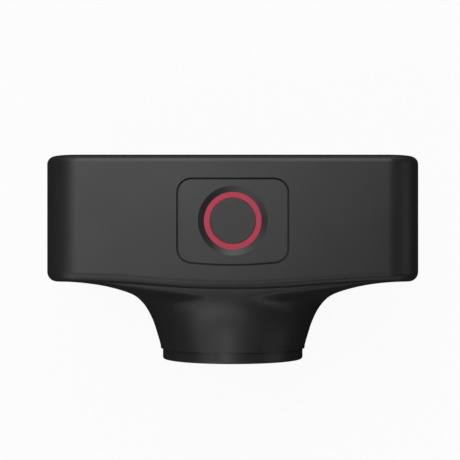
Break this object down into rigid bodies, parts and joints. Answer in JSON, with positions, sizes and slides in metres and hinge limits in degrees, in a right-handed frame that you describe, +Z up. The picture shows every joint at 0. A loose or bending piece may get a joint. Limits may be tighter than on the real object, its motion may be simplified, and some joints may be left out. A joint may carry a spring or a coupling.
{
  "type": "streaming webcam",
  "caption": "Streaming webcam with a wide rounded housing, a bell-shaped front that narrows to a round lens neck, a record button in a light ring on top and ports in the back.",
  "frame": {"origin": "on the surface that the foot pad stands on, under the middle of the outer box", "axes": "+X along the width, -Y the way the lens looks, +Z up out of the control panel"},
  "size_m": [0.096, 0.0536, 0.054],
  "materials": {
    "housing_plastic": "fine matt moulded plastic, dark grey",
    "cover_plastic": "fine matt moulded plastic, dark grey",
    "trim_plastic": "satin moulded plastic, dark grey",
    "panel_plastic": "grained moulded plastic, dark grey",
    "button_plastic": "satin moulded plastic, dark grey",
    "light_guide": "translucent red light guide",
    "window_glass": "coated flat glass",
    "lens_glass": "coated optical glass",
    "filter_glass": "thin coated filter glass",
    "optics_black": "black, ribbed against stray light",
    "circuit_board": "solder mask over copper",
    "chip_black": "moulded chip package",
    "plated_metal": "tin plated sheet",
    "screw_steel": "black oxide steel",
    "spreader_metal": "plain stamped aluminium",
    "flex_film": "amber flexible circuit film",
    "battery_wrap": "foil pouch in a plain wrap",
    "soft_foam": "closed cell foam and tape",
    "foot_rubber": "matt non-slip rubber",
    "nut_brass": "turned brass"
  },
  "bodies": {
    "camera": {"main_housing": "housing_plastic", "front_cover": "cover_plastic", "lens_ring": "trim_plastic", "control_panel": "panel_plastic", "light_ring": "light_guide", "lens_window": "window_glass", "front_lens": "lens_glass", "middle_lens": "lens_glass", "rear_lens": "lens_glass", "ir_filter": "filter_glass", "lens_baffle": "optics_black", "lens_barrel": "optics_black", "lens_holder": "optics_black", "sensor_board": "circuit_board", "button_board": "circuit_board", "main_board": "circuit_board", "io_board": "circuit_board", "microphone_boards": "circuit_board", "image_sensor": "chip_black", "main_processor": "chip_black", "memory_chips": "chip_black", "sensor_connector": "chip_black", "record_switch": "chip_black", "power_switch": "chip_black", "ring_leds": "chip_black", "wireless_module": "plated_metal", "usb_c_port": "plated_metal", "memory_card_slot": "plated_metal", "microphones": "plated_metal", "sensor_screws": "screw_steel", "sensor_standoffs": "screw_steel", "panel_screws": "screw_steel", "board_screws": "screw_steel", "spreader_screws": "screw_steel", "io_screws": "screw_steel", "housing_screws": "screw_steel", "heat_spreader": "spreader_metal", "button_flex": "flex_film", "io_flex": "flex_film", "antenna": "flex_film", "battery_pack": "battery_wrap", "battery_tape": "soft_foam", "panel_gasket": "soft_foam", "microphone_gaskets": "soft_foam", "thermal_pad": "soft_foam", "foot_pad": "foot_rubber", "tripod_nut": "nut_brass"},
    "record_button": {"record_button": "button_plastic"},
    "power_button": {"power_button": "button_plastic"}
  },
  "joints": [
    {"name": "record_button_press", "type": "slide", "parent": "camera", "child": "record_button", "axis": [0, 0, -1], "range_m": [0, 0.0005], "stiffness_N_per_m": 600},
    {"name": "power_button_press", "type": "slide", "parent": "camera", "child": "power_button", "axis": [0, -1, 0], "range_m": [0, 0.0005], "stiffness_N_per_m": 600}
  ]
}
